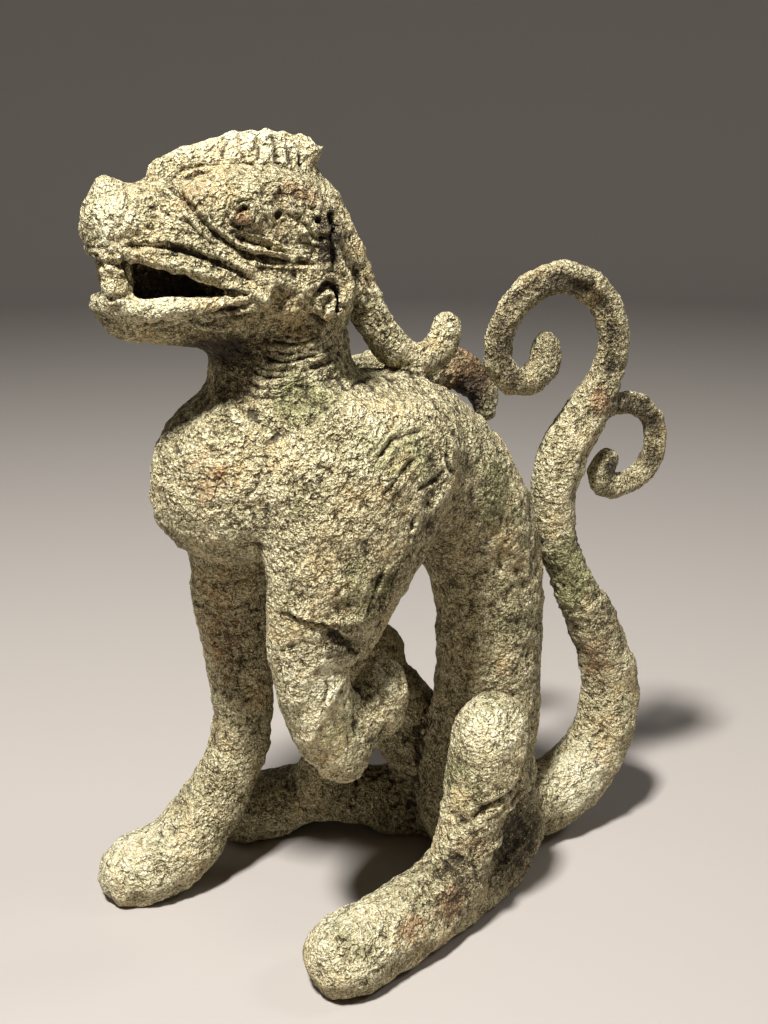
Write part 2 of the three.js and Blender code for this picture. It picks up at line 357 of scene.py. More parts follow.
    def swell(self, centre, radii, height, side=1):
        """Raises, or with a negative height sinks, a rounded patch of the skin."""
        middle = np.array(centre, dtype=float)
        if side < 0:
            middle[0] = 2 * MIDDLE_X - middle[0]
        t = (((self.places - middle) / np.array(radii, dtype=float)) ** 2).sum(1)
        near = np.flatnonzero(t < 1)
        self.places[near] += self.normals[near] * (height * (1 - t[near]) ** 2)[:, None]

    def settle(self):
        """Brings directions and the search up to date after strokes."""
        self.normals = self.faces_out()
        self.find_skin()

    def store(self):
        """Writes the moved places back to the mesh."""
        self.mesh.vertices.foreach_set("co", (self.places * MM).ravel())
        self.mesh.update()


# The carving of the head, cut alike on both sides. Each line has a shape, a width, a height and its
# points on the left side, in millimetres. A negative height cuts in.
HEAD_LINES = (
    # the brow's fold, from the root of the nose, under the eye and on to the temple
    ("crease", 2.8, -2.4, [(9, -89.5, 280.5), (18.5, -89, 278.5), (23, -87, 275), (25, -84.5, 271),
                           (25.5, -80, 266.5), (26, -74, 262.5)]),
    ("crease", 2.8, -2.4, [(25.5, -78, 265), (26.5, -70.5, 260), (28, -63, 258), (29, -55.5, 257),
                           (29, -47, 256)]),
    # the fold below the eye, and the ridge between the two
    ("crease", 2.6, -2.2, [(27, -74, 265.5), (26.5, -66.5, 263), (27, -61.5, 261.5), (28, -57, 260),
                           (28.5, -51, 258)]),
    ("round", 1.8, 0.8, [(26, -81.5, 269.5), (26, -78, 267), (27, -72, 262.5), (28.5, -63, 259.8)]),
    ("crease", 2.6, -0.9, [(17, -94.5, 274), (21, -92, 271.5), (24, -88.5, 270), (24.5, -82, 266)]),
    # the upper lip and the band that runs back from the nose
    ("crease", 2.3, -1.6, [(16, -108, 262.5), (20, -99, 262.5), (22.5, -91, 261.5), (24.5, -85, 259.5),
                           (26, -79, 257.5), (27, -73.5, 254.5), (28, -69, 252)]),
    ("round", 2.7, 1.0, [(20, -99, 266), (24.5, -88.5, 264.5), (26.5, -81, 261), (28, -73.5, 257.5),
                         (28.5, -67, 252.5)]),
    # the lower lip, a long lens over a sharp fold, and the corner of the mouth
    ("crease", 3.0, -3.1, [(11.5, -102.5, 234.5), (15, -97.5, 236.5), (18, -91, 238), (24.5, -86, 239.5),
                           (28, -79.5, 241), (29, -73.5, 243), (29.5, -68, 245)]),
    ("round", 2.8, 1.1, [(14, -104, 240), (20.5, -99, 241.5), (25, -91.5, 243), (27.5, -81, 245),
                         (28, -73, 246.5)]),
    ("crease", 2.3, -2.2, [(27, -79, 248), (28, -74.5, 248), (29.5, -70, 247)]),
    ("round", 2.4, 1.0, [(29.5, -70, 250), (29.5, -66, 246), (27, -62, 242)]),
    # the lids of the eye
    ("crease", 1.8, -1.1, [(27, -77, 269.3), (27, -74, 273.6), (27, -70, 276.5), (28, -65.8, 275)]),
    ("round", 1.3, 1.0, [(27, -76, 269.5), (27, -73.6, 272.8), (27, -70, 275.2), (28, -67, 273.8)]),
    ("crease", 1.5, -1.7, [(27, -75.2, 270), (27.5, -73, 272), (27.5, -70.2, 274), (28, -67.6, 272.8)]),
    ("crease", 1.5, -1.7, [(27, -75.2, 269.6), (27.5, -72.3, 268.3), (27.5, -69, 268.8), (28, -67, 271)]),
    # the small hook on the temple
    ("round", 1.8, 1.4, [(27, -62, 275.5), (26, -60.8, 278.5), (25.5, -57.5, 280), (26, -55, 277.8),
                         (27.5, -56.5, 274)]),
    ("crease", 2.0, -0.9, [(26, -64.5, 274), (25, -63.5, 279), (24, -58, 282.4), (25, -52.5, 279.5)]),
    # the deep hollow behind the cheek
    ("crease", 2.6, -1.8, [(27, -51.5, 270), (28, -49.5, 267.5), (27.5, -46, 264), (26.5, -40.5, 265)]),
    ("crease", 4.0, -3.0, [(24.5, -38.5, 273), (26, -40, 265.5), (26, -39.5, 259), (27, -40, 252.5)]),
    # the scroll at the corner of the jaw: its rim, its groove and the comma inside
    ("round", 2.2, 1.8, [(27.5, -48.5, 247.5), (27, -44.5, 251), (25.5, -40.5, 251.6), (25, -37, 249.5),
                         (26, -36, 245.5), (25.5, -36, 240.5), (23, -35, 235.5)]),
    ("crease", 2.0, -2.0, [(28, -48, 244), (27.5, -44.5, 248.3), (26, -41, 249), (26, -38.8, 245.8),
                           (26.5, -38.8, 241.5), (26, -40, 237.5)]),
    ("round", 2.2, 1.5, [(28.5, -45.5, 244), (27.5, -42.6, 246.3), (26.5, -41, 244), (27.5, -42, 240),
                         (25, -43.5, 236.5)]),
    ("crease", 1.7, -1.3, [(28.5, -44.3, 242.5), (28, -43.8, 240), (27, -45.5, 238)]),
    ("crease", 2.6, -1.8, [(28, -49.5, 238.5), (25, -43.5, 234), (21, -37, 235)]),
    # the muzzle and the nose
    ("crease", 2.5, -1.0, [(5.5, -103, 281.5), (15.5, -104, 276.5), (19, -107, 271), (17, -110, 266.5)]),
    ("round", 2.7, 0.8, [(16.5, -103, 277), (14, -97.5, 276.5), (15.5, -94, 276)]),
    ("round", 2.1, 0.8, [(5, -112.5, 279.5), (4.5, -114, 274), (6, -115.5, 269), (6, -115, 264)]),
    ("crease", 1.7, -1.4, [(7.5, -114, 271), (9.5, -113, 270.5), (9.5, -113.5, 266.5)]),
    ("crease", 1.7, -0.9, [(3, -117, 261.5), (10, -114, 262), (15, -109.5, 263.5)]),
    # the foot of the crest, the brow's edge and the knob in front of the crest
    ("crease", 2.2, -1.2, [(6.5, -88, 283), (7, -81.5, 286), (7.5, -73, 287), (8, -63, 286.5),
                           (8.5, -52, 285.5), (8.5, -43, 283)]),
    ("round", 2.7, 0.8, [(12, -80, 285), (14.5, -70, 286.5), (18, -60, 285.5), (22.5, -52, 282),
                         (23.5, -44.5, 278)]),
    ("round", 1.8, 0.7, [(5.5, -91, 283.5), (2.5, -93.5, 285), (4, -91.5, 288), (5.5, -87.5, 288)]),
    # the fang under the lip, and the gap behind the front teeth
    ("crease", 2.2, -1.7, [(17.5, -107, 260), (15.5, -105.8, 256), (13, -106, 251.5), (12, -107, 248)]),
    ("crease", 2.6, -1.6, [(2, -113, 258), (10, -111.5, 257.6), (15, -108, 257), (16, -104, 257)]),
    ("crease", 2.4, -1.3, [(2, -112, 246.5), (10, -111, 246.5), (15, -107, 247)]),
    ("crease", 2.4, -1.6, [(5.5, -112, 257), (5.5, -111, 252), (5.5, -110, 247)]),
    ("round", 2.6, 1.0, [(11.5, -111, 256), (12, -110, 252), (12.5, -109, 248)]),
)

# The flutes of the crest: their width and depth, then the top and foot of each, in the frame's Y and Z.
FLUTE_WIDTH = 1.9
FLUTE_DEPTH = 1.9
FLUTES = (((-68, 297), (-71, 289)), ((-62.5, 298.5), (-63.5, 288)),
          ((-56.5, 299), (-58.3, 287.5)), ((-50.8, 298.8), (-52.3, 286.8)),
          ((-45.6, 298.2), (-47.4, 286.4)), ((-41.4, 296), (-44, 284.5)))

# Hollows and knobs of the head: a middle, three radii and a height.
HEAD_SPOTS = (
    ((27.5, -71.3, 271.5), (4.2, 4.2, 3.4), 1.2), ((18.5, -98.5, 268.3), (4, 2.6, 1.8), -1.8),
    ((26.5, -47, 273), (4, 2.0, 1.8), -2.2), ((27.5, -45, 269.5), (4, 2.0, 1.7), -2.0),
    ((25.5, -38.5, 270), (4, 2.0, 2.0), -2.0), ((27.5, -58.5, 271.5), (4, 1.7, 1.5), -1.4),
    ((19, -78, 283), (4, 2.0, 2.0), -1.0), ((24.5, -71.5, 280.5), (4, 1.6, 1.6), -0.8),
    ((27, -53, 274), (6, 4.5, 4), 1.6), ((27, -44.5, 275), (6, 4, 3.4), 1.6),
    ((25, -50, 248), (9, 6, 6), 1.2), ((24, -57, 240), (9, 7, 4), 1.4),
    ((22, -85, 279), (7, 6, 5), 1.2), ((14, -111, 266), (6, 5, 6), 0.8),
)

# The first fold across the neck, below the scroll of the jaw: places on the left side, and how far each
# goes down with the folds below it, as a share. Then how far each fold lies below it, and its height.
NECK_LINE = ((16.5, -62.5, 229, 0.85), (19, -58.5, 227.5, 0.95), (20, -53.5, 227, 1),
             (20.5, -49, 227.5, 1), (20, -43.5, 228.5, 1), (17.5, -36, 231.5, 1))
NECK_FOLDS = ((-6, 0.9), (-3.4, 1.2), (-0.6, 1.6), (2.2, 1.2), (5.4, 1.7), (7.8, 1.1), (11.4, 1.5),
              (15.0, 0.9))
FOLD_WIDTH = 2.0
CREASE_BELOW = 1.5      # how far under its fold a crease lies
CREASE_WIDTH = 1.7
CREASE_DEPTH = 1.1

# The carving of the left shoulder and of the lifted foreleg below it.
SHOULDER_LINES = (
    ("crease", 3.3, -1.8, [(49, -37, 190), (46.5, -31, 195), (43.5, -26, 198), (40, -18.5, 199),
                           (36, -12.5, 198.5), (35, -7, 203)]),
    ("crease", 3.0, -1.6, [(50.5, -34, 180.5), (49.5, -29.5, 184), (46.5, -22, 189), (42, -14.5, 192)]),
    ("crease", 2.6, -1.3, [(48, -19, 180), (45.5, -14, 181.5), (40.5, -8, 182.5), (40, -5, 184.5)]),
    ("crease", 2.2, -0.5, [(51.5, -43.5, 164), (51.5, -42, 168), (51.5, -40, 172)]),
    ("crease", 2.2, -0.4, [(50, -48.5, 175), (50, -52.5, 163.5), (50, -55.5, 156)]),
    # the edge of the lock on the shoulder, and the arm's rear edge below it
    ("round", 5.0, 1.3, [(15.5, 4, 206.5), (25, 4, 201), (31.5, 5.5, 191.5), (33, 8, 182)]),
    ("crease", 2.6, -1.3, [(35.5, -3, 200), (38, -2, 194), (40.5, -2.5, 187), (38.5, 1, 181)]),
    ("round", 5.0, 1.2, [(36, 2, 178), (42, -8.5, 174), (47, -18.5, 167), (49.5, -27, 158),
                         (50, -34, 145)]),
    # the fold between the neck and the shoulder
    ("crease", 3.6, -0.7, [(37, -57, 203), (35.5, -50.5, 207), (32, -42.5, 211), (21.5, -32, 211.5),
                           (12, -21.5, 213)]),
    # the ledge of worn skin over the forearm, and the recess below it
    ("shelf", 6.0, 2.1, [(41, -69, 144), (45, -65, 143), (49, -59, 140), (50.5, -52.5, 138.5),
                         (50.5, -44, 137.5), (49.5, -36.5, 139), (49, -32, 143)]),
    ("crease", 4.2, -1.6, [(50, -57, 138), (50, -50.5, 133), (49, -43.5, 128.5), (46, -39, 122)]),
    # the long streaks on the rear of the arm
    ("crease", 2.6, -1.4, [(49.5, -24, 162.5), (48, -28.5, 148.5), (42, -31, 132)]),
    ("crease", 2.5, -1.3, [(48.5, -19.5, 172.5), (48.5, -25, 157), (46.5, -28.5, 142)]),
    ("crease", 2.5, -1.3, [(50.5, -32, 158.5), (50.5, -37, 145), (49.5, -40.5, 137)]),
    ("round", 2.7, 0.9, [(43, -31, 132), (41, -33.5, 125), (40.5, -36, 118.5), (36, -34, 109)]),
    ("crease", 3.0, -0.8, [(41, -68.5, 126.5), (44, -66, 129.5), (46.5, -62, 131.5)]),
    # the lobe behind the paw
    ("crease", 2.4, -0.6, [(36, -34, 107.5), (40, -30.5, 105.5), (43, -28, 98.5), (42, -28.5, 91.5),
                           (40, -31, 86)]),
    ("round", 3.2, 0.7, [(34, -30.5, 111.5), (33, -22, 113.5), (38, -18.5, 106), (41.5, -21.5, 97)]),
    # the rims of the worn scoop in the paw
    ("round", 2.7, 1.0, [(45, -47, 117), (48.5, -52, 110.5), (48, -56, 103.5), (46.5, -58, 96),
                         (43, -58.5, 89)]),
    ("round", 2.4, 0.7, [(43, -30.5, 98), (41.5, -31.5, 91.5), (40, -33, 84)]),
    ("crease", 3.6, -0.6, [(46, -47, 112), (45, -46, 100), (43.5, -45, 88)]),
    ("round", 2.6, 0.8, [(41, -54, 81), (42.5, -49, 76.5), (45, -42, 79)]),
)
SHOULDER_SPOTS = (
    ((45.5, -27, 194.5), (5, 2.6, 2.6), 1.4), ((14, 1.5, 208.5), (8, 6, 6), 1.6),
    ((12, -7, 211.5), (8, 6, 6), 1.4), ((33, -53, 208.5), (6, 5, 5), 1.2),
    ((26, -46, 213), (6, 5, 5), 1.2), ((45, -64, 110), (6, 3.4, 5), 1.2),
    ((43, -60.5, 94), (6, 3, 4), 1.1), ((40.5, -52, 77), (5, 3.4, 3.4), 1.0),
    ((49, -47, 150), (8, 9, 8), 1.4), ((50, -51, 132), (7, 7, 5), -2.4),
    ((47.5, -42, 127), (7, 5, 5), -2.4), ((44, -40, 96), (6, 7, 12), -1.0),
    ((39, -42, 190), (16, 14, 12), 1.2),
)

# The left hind leg: the knee's overhang, and below it the ridges on the flat wall. The last spot is on
# the right forefoot.
HIND_LINES = (
    ("crease", 4.6, -1.9, [(40, -4, 50.5), (46, -0.5, 50.5), (50, 3.5, 49), (50.5, 8, 52),
                           (51.5, 15, 55.5), (50, 22.5, 58.5), (47, 28, 68)]),
    ("round", 2.5, 2.2, [(39, 38, 46), (41.5, 27, 38.5), (47, 17, 37), (52, 8, 36.5)]),
    ("round", 2.5, 2.0, [(33, 44, 26), (38, 31.5, 20), (46.5, 16, 17)]),
    ("round", 2.3, 1.8, [(42, 37, 58), (45, 28, 53), (50, 17, 49)]),
    ("round", 2.4, 1.0, [(32, 45, 27), (33, 42, 14), (34, 39, 6)]),
    ("crease", 2.4, -1.2, [(51.5, 2.5, 41), (54, 3, 33), (54.5, 5.5, 24)]),
    ("crease", 2.6, -1.2, [(66, -60, 21), (62, -52, 24), (60, -44, 25)]),
)
HIND_SPOTS = (
    ((46, 10, 76), (18, 24, 26), 2.2), ((40, 30, 34), (16, 20, 26), -3.0),
    ((50, -1, 43), (8, 7, 7), 2.2), ((52, -5, 34), (8, 8, 6), -1.6),
    ((55, -10, 27), (7, 7, 5), 1.6), ((60, -30, 24), (12, 12, 8), 1.0),
    ((66, -44, 19), (8, 6, 6), -0.8), ((-36, -108, 20), (8, 8, 6), 0.8),
)

# The channels along the side faces of the tail's large and small scroll, with their width and depth,
# and the radii and share of the painted shade that darkens them at each of their points.
CHANNEL_WIDTH = 4.2
CHANNEL_DEPTH = 1.5
CHANNEL_PAINTED_SHADE = ((5, 8, 8), 0.75)
TAIL_CHANNELS = (
    [(7, 42.5, 207), (7, 37, 217), (6.5, 36.5, 228), (6.5, 42, 238), (7, 51, 243.5), (7, 61.5, 244),
     (7, 73, 240), (7, 82, 232), (7, 87, 221), (7, 87, 210)],
    [(6, 98, 195), (6, 106, 191.5), (6, 112.5, 182), (6, 111.5, 168.5)],
)

# Where the crust is rougher, or with a negative share smoother: a middle, three radii and a share.
ROUGHER = (
    ((12, -66, 220), (22, 16, 20), 0.4), ((-30, -60, 100), (24, 24, 70), 0.8),
    ((-40, 0, 25), (40, 60, 40), 0.7), ((0, 80, 118), (18, 34, 42), 1.3),
    ((-40, 30, 200), (14, 45, 24), 1.4), ((0, -22, 250), (16, 22, 34), 0.8),
    ((26, -44, 266), (14, 20, 16), 0.5), ((30, 34, 30), (18, 30, 34), 0.6),
    ((24, 34, 130), (24, 18, 60), 0.4), ((0, -100, 182), (40, 40, 26), 0.3),
    ((40, -20, 190), (24, 34, 26), -0.45), ((46, -48, 98), (16, 18, 20), -0.4),
    ((0, -62, 292), (20, 42, 16), -0.8), ((10, -94, 244), (34, 34, 12), -0.6),
    ((10, -106, 272), (26, 20, 18), -0.7), ((0, 75, 215), (12, 45, 40), -0.35),
    ((0, 98, 172), (12, 26, 26), -0.3), ((48, 14, 76), (16, 20, 22), -0.2),
    ((24, -76, 268), (14, 18, 16), -0.6), ((18, -66, 282), (14, 26, 8), -0.6),
)


def model_cast(settings):
    """The whole figure as one skin over the frame's solid."""
    piece = merged_copy(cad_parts["dragon"], "dragon_cast")
    even_skin(piece, settings.coarse_grain)
    clay = Clay(piece)
    fair_joints(clay)
    clay.store()
    even_skin(piece, settings.fine_grain)
    refine_head(piece)
    clay = Clay(piece)
    clay.soften(np.ones(clay.count), 3)
    clay.settle()
    carve_head(clay, settings.carving)
    carve_body(clay, settings.carving)
    carve_tail(clay, settings.carving)
    lay_crust(clay, settings)
    clay.store()
    thin_skin(piece, settings)
    mark_places(piece)
    return piece


def fair_joints(clay):
    """Fills the joints between the solid's forms and melts their flat facets, but keeps the mouth open
    and the thin curls as thick as they are."""
    y, z = clay.places.T[1:]
    mouth = fade(y, -58, -70) * fade(z, 236, 242) * fade(z, 264, 258)
    crest = fade(z, 282, 288)
    curls = fade(y, 50, 66) * fade(z, 150, 165)
    lock = fade(z, 205, 216) * fade(y, -34, -26) * fade(y, 30, 22)
    head = fade(z, 225, 238) * fade(y, -20, -34)
    clay.fill((1 - mouth) * (1 - 0.8 * curls) * (1 - 0.4 * head * (1 - crest)), 60)
    body = fade(z, 222, 210) * fade(z, 128, 142) * fade(y, 0, -12)
    clay.fill(body, 160)
    clay.soften(1 - np.maximum(mouth, 0.7 * crest), 8)
    thin = np.maximum.reduce([mouth, crest, curls, lock, 0.75 * head])
    clay.soften((1 - thin) * fade(z, 2, 10), 90)


def refine_head(piece):
    """Halves the grain of the head, where the carving is finest."""
    form = bmesh.new()
    form.from_mesh(piece.data)
    head = {v for v in form.verts if v.co.z > 228 * MM and v.co.y < -34 * MM}
    edges = [e for e in form.edges if e.verts[0] in head and e.verts[1] in head]
    bmesh.ops.subdivide_edges(form, edges=edges, cuts=1, use_grid_fill=True)
    bmesh.ops.triangulate(form, faces=[f for f in form.faces if len(f.verts) > 4])
    form.to_mesh(piece.data)
    form.free()


def swell_spots(clay, spots, depth, sides=(1,)):
    """Raises and sinks a list of spots on the given sides of the figure."""
    for middle, radii, height in spots:
        for side in sides:
            clay.swell(middle, radii, height * depth, side)
    clay.settle()


def carve(clay, lines, depth, sides=(1,)):
    """Works a list of lines on the given sides of the figure."""
    for shape, width, height, points in lines:
        for side in sides:
            clay.stroke(points, width, height * depth, shape, side)
    clay.settle()


def neck_fold(low, number):
    """A fold that wavers across the left of the neck, low millimetres below the first."""
    points = []
    for x, y, z, share in NECK_LINE:
        waver = 1.3 * noise.noise(Vector((0.21 * y, 1.7 * number, 4)))
        points.append((x, y - 0.48 * low * fade(y, -34, -44), z - share * low + waver))
    return points


def carve_head(clay, depth):
    """Brows, eyes, lips, nose, the scroll of the jaw, the crest's flutes and the folds of the neck."""
    swell_spots(clay, HEAD_SPOTS, depth, (1, -1))
    carve(clay, HEAD_LINES, depth, (1, -1))
    for top, foot in FLUTES:
        points = [(4, *top), (8, 0.5 * (top[0] + foot[0]), 0.5 * (top[1] + foot[1])), (8.5, *foot)]
        for side in (1, -1):
            clay.stroke(points, FLUTE_WIDTH, -FLUTE_DEPTH * depth, "round", side, 0.2)
    clay.settle()
    for number, (low, height) in enumerate(NECK_FOLDS):
        for side in (1, -1):
            clay.stroke(neck_fold(low, number), FOLD_WIDTH, height * depth, "round", side, 0.3)
            clay.stroke(neck_fold(low + CREASE_BELOW, number), CREASE_WIDTH, -CREASE_DEPTH * depth,
                        "crease", side, 0.3)
    clay.settle()


def carve_body(clay, depth):
    """The shoulder's folds, the worn forepaw and the hind leg. The right side is plainer."""
    swell_spots(clay, SHOULDER_SPOTS, depth)
    carve(clay, SHOULDER_LINES, depth)
    carve(clay, SHOULDER_LINES[:3], 0.6 * depth, (-1,))
    swell_spots(clay, HIND_SPOTS, depth)
    carve(clay, HIND_LINES, depth)


def carve_tail(clay, depth):
    """A shallow channel along the side faces of both scrolls of the tail, and grooves on the mane."""
    for side in (1, -1):
        for channel in TAIL_CHANNELS:
            clay.stroke(channel, CHANNEL_WIDTH, -CHANNEL_DEPTH * depth, "round", side, 0.15)
        for low in (0, 3.4):
            mane = [(8, -33 + low, 268), (8, -22 + low, 248), (8, -13 + low, 229), (8, -2, 218 + low)]
            clay.stroke(mane, 2.6, -0.9 * depth, "crease", side)
    clay.settle()


def total_share(places, patches):
    """The sum of soft patches at each place."""
    total = np.zeros(len(places))
    for middle, radii, share in patches:
        t = (((places - np.array(middle)) / np.array(radii)) ** 2).sum(1)
        total += share * (1 - np.minimum(t, 1)) ** 2 * (t < 1)
    return total


def lay_crust(clay, settings):
    """Broad lumps, crumbs and pits of the corrosion crust."""
    noise.seed_set(CRUST_SEED)
    lumps = np.empty(clay.count)
    crumbs = np.empty(clay.count)
    pits = np.empty(clay.count)
    shift = Vector((40, 7, 3))
    for i, place in enumerate(clay.places):
        p = Vector(place)
        lumps[i] = noise.fractal(p / LUMP_WIDTH, 0.9, 2.1, 3)
        warp = p / CRUMB_WIDTH + noise.noise_vector(p / WARP_WIDTH) * 0.7
        near = noise.voronoi(warp)[0]
        crumbs[i] = min(near[1] - near[0], 0.45) + 0.8 * noise.noise(p / GRAVEL_WIDTH)
        pits[i] = noise.noise(p / PIT_WIDTH + shift) + 0.4 * noise.noise(p / LUMP_WIDTH)
    rough = np.clip(1 + total_share(clay.places, ROUGHER), 0.25, 2.6)
    pits = np.clip(pits - PIT_START + 0.12 * rough, 0, 0.3) / 0.3
    height = rough ** 0.7 * lumps * settings.lump_height
    height += rough * (crumbs - 0.25) * settings.crumb_height
    height -= rough ** 0.5 * pits * settings.pit_depth
    clay.raise_by(height / MM)
    clay.places[:, 2] = np.maximum(clay.places[:, 2], 0.0)


def thin_skin(piece, settings):
    """Thins the skin to about the wanted number of triangles, and spares the head."""
    clay = Clay(piece)
    y, z = clay.places.T[1:]
    head = fade(z, 212, 228) * fade(y, -28, -40)
    group = piece.vertex_groups.new(name="spared")
    for share in (0.25, 0.5, 0.75, 1.0):
        chosen = np.flatnonzero((head > share - 0.25) & (head <= share))
        group.add(chosen.tolist(), 0.5 * share, "REPLACE")
    thin = piece.modifiers.new("Thin", "DECIMATE")
    thin.ratio = min(settings.triangles / len(clay.corners), 1.0)
    thin.vertex_group = group.name
    thin.invert_vertex_group = True
    thin.vertex_group_factor = settings.sparing
    apply_modifiers(piece)
    piece.vertex_groups.clear()
    for vertex in piece.data.vertices:
        vertex.co.z = max(vertex.co.z, 0.0)


# Stains of the patina, chalk patches that make the crust paler, and painted shade, as patches of a
# middle, three radii and a share, in millimetres. The shade patches are painted shade in the mouth, under
# the jaw and the chest, behind the cheek, under the forearm's ledge, on the far lock, on the tail's
# scrolls and on the haunch's wall.
STAINS_AND_PAINTED_SHADE = {
    "rust": (((28, -71.5, 271.5), (6, 5, 5), 1.0), ((25, -52, 278), (10, 16, 8), 0.7),
             ((20, -84, 278), (10, 9, 8), 0.6), ((24, -84, 186), (20, 16, 20), 0.6),
             ((57, -8, 21), (12, 12, 12), 1.1), ((64, -27, 21), (12, 16, 8), 0.8),
             ((9, 82, 196), (8, 8, 12), 1.0), ((8, 86, 82), (12, 16, 26), 0.7),
             ((0, 56, 203), (12, 8, 8), 0.8), ((26, 32, 92), (20, 12, 20), 0.5),
             ((-38, 44, 200), (14, 22, 24), 1.3), ((-20, -68, 110), (20, 20, 50), 0.5),
             ((50, 5, 40), (12, 16, 14), 0.6), ((44, -60, 122), (12, 10, 8), 0.4)),
    "verdigris": (((44, -24, 193), (20, 22, 18), 0.8), ((8, 72, 124), (16, 20, 30), 1.2),
                  ((26, -50, 210), (18, 20, 16), 0.8), ((46, -49, 96), (12, 16, 26), 0.8),
                  ((42, 4, 58), (16, 16, 22), 0.6), ((50, -40, 150), (14, 20, 20), 0.7),
                  ((28, 24, 168), (18, 18, 34), 0.7), ((0, 98, 176), (12, 24, 24), 0.3),
                  ((22, 36, 140), (18, 14, 50), 0.4), ((-45, -10, 60), (30, 40, 50), 0.5)),
    # painted shade: these patches darken the crust where shade falls
    "shade": (((12, -76, 228), (22, 22, 9), 1.1), ((26, -41, 262), (8, 7, 16), 1.2),
              ((38, 32, 24), (20, 30, 30), 0.55), ((0, -84, 250), (17, 24, 9), 3.0),
              ((6, 91, 166), (6, 6, 9), 0.8), ((-38, 48, 196), (12, 16, 22), 1.0),
              ((12, -70, 216), (14, 12, 14), 0.5), ((0, -8, 152), (40, 40, 18), 0.4),
              ((48.5, -47, 129), (8, 12, 6), 0.9), ((10, 96, 104), (14, 14, 20), 0.6),
              ((53, -3, 30), (10, 12, 14), 0.3), ((1.5, 64, 222), (20, 46, 36), 0.35),
              ((1.5, 104, 178), (20, 26, 28), 0.3)),
    "chalk": (((0, -62, 292), (16, 40, 14), 1.0), ((12, -110, 272), (18, 14, 18), 0.7),
              ((12, -98, 243), (26, 24, 9), 0.9), ((14, 80, 30), (22, 26, 26), 0.9),
              ((-30, -100, 16), (26, 34, 24), 1.0), ((56, -46, 18), (24, 30, 20), 0.8),
              ((44, 14, 84), (22, 20, 16), 0.7), ((40, -30, 200), (26, 26, 18), 0.5),
              ((-14, 9, 60), (24, 24, 30), 0.5), ((0, 70, 160), (16, 16, 24), 0.5),
              ((20, -60, 176), (40, 40, 40), 0.35), ((46, -52, 112), (16, 22, 40), 0.7)),
}


def mark_places(piece):
    """Marks hollows, stains and painted shade on the finished skin, for the patina to follow."""
    clay = Clay(piece)
    marks = {name: total_share(clay.places, patches) for name, patches in STAINS_AND_PAINTED_SHADE.items()}
    # painted shade along the tail's channels, on both sides
    for channel in TAIL_CHANNELS:
        for x, y, z in channel:
            for side in (x, 2 * MIDDLE_X - x):
                marks["shade"] += total_share(clay.places, [((side, y, z), *CHANNEL_PAINTED_SHADE)])
    # how hollow the skin is; the patina paints hollows darker, partly as dark metal and partly as painted
    # shade
    fine = ((clay.blurred(clay.places, 3) - clay.places) * clay.normals).sum(1)
    wide = ((clay.blurred(clay.places, 40) - clay.places) * clay.normals).sum(1)
    marks["hollow"] = 0.5 + 1.8 * fine + 0.2 * wide
    for name, values in marks.items():
        layer = piece.data.attributes.new(name, "FLOAT", "POINT")
        layer.data.foreach_set("value", np.clip(values, 0, 1))


def add_node(tree, kind, inputs=None, **settings):
    """A node with its settings and inputs. An input is a value, or another node's socket to join."""
    made = tree.nodes.new(kind)
    for name, value in settings.items():
        setattr(made, name, value)
    for key, value in (inputs or {}).items():
        if isinstance(value, bpy.types.NodeSocket):
            tree.links.new(value, made.inputs[key])
        else:
            made.inputs[key].default_value = value
    return made


def calc(tree, operation, *values):
    """A Math node's result."""
    return add_node(tree, "ShaderNodeMath", dict(enumerate(values)), operation=operation).outputs[0]


def blend(tree, share, first, second, mode="MIX"):
    """A mix of two colours."""
    made = add_node(tree, "ShaderNodeMix", data_type="RGBA", blend_type=mode)
    for index, value in ((0, share), (6, first), (7, second)):
        if isinstance(value, bpy.types.NodeSocket):
            tree.links.new(value, made.inputs[index])
        else:
            made.inputs[index].default_value = value
    return made.outputs[2]


def noise_outputs(tree, place, scale, detail, roughness=0.5, distortion=0.0):
    """A Noise Texture node's outputs, Fac and Color."""
    made = add_node(tree, "ShaderNodeTexNoise", {"Vector": place, "Scale": scale, "Detail": detail,
                                                 "Roughness": roughness, "Distortion": distortion})
    return made.outputs


def step_up(tree, value, low, high):
    """A smooth step from 0 at low to 1 at high."""
    made = add_node(tree, "ShaderNodeMapRange", {"Value": value, "From Min": low, "From Max": high},
                    interpolation_type="SMOOTHSTEP")
    return made.outputs["Result"]


def new_group(name, inputs, outputs):
    """An empty node group with its sockets. Each is given as a name and a kind."""
    group = bpy.data.node_groups.new(name, "ShaderNodeTree")
    for direction, sockets in (("INPUT", inputs), ("OUTPUT", outputs)):
        for socket, kind in sockets:
            group.interface.new_socket(socket, in_out=direction, socket_type="NodeSocket" + kind)
    return group, group.nodes.new("NodeGroupInput").outputs, group.nodes.new("NodeGroupOutput").inputs


